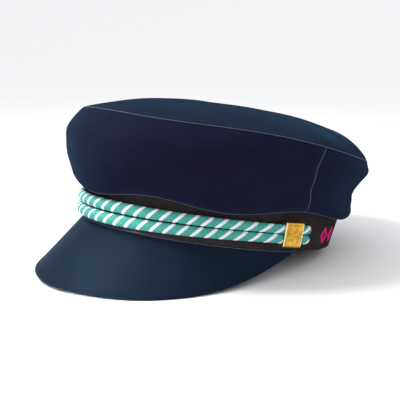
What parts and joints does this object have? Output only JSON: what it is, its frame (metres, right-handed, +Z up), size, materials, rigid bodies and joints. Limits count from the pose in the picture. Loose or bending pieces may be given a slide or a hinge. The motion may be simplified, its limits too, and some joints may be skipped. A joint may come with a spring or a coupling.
{
  "type": "sailor cap",
  "caption": "Soft sailor cap with a full domed crown, an upright band, a curved peak and a striped cord held by square clasps.",
  "frame": {"origin": "on the table under the middle of the cap's bounding box, with the cap resting on its peak and the back of its band", "axes": "+Z up, -Y to the front where the peak points, +X to the wearer's left"},
  "size_m": [0.1992, 0.2688, 0.1181],
  "materials": {
    "navy_cloth": "matt",
    "black_ribbon": "matt",
    "navy_patent": "satin",
    "striped_cord": "matt",
    "gold_brass": "polished"
  },
  "bodies": {
    "root": {"crown_top": "navy_cloth", "crown_front": "navy_cloth", "crown_back": "navy_cloth", "band": "black_ribbon", "peak": "navy_patent", "cord_upper": "striped_cord", "cord_lower": "striped_cord", "clasp_left": "gold_brass", "clasp_right": "gold_brass"}
  },
  "joints": []
}
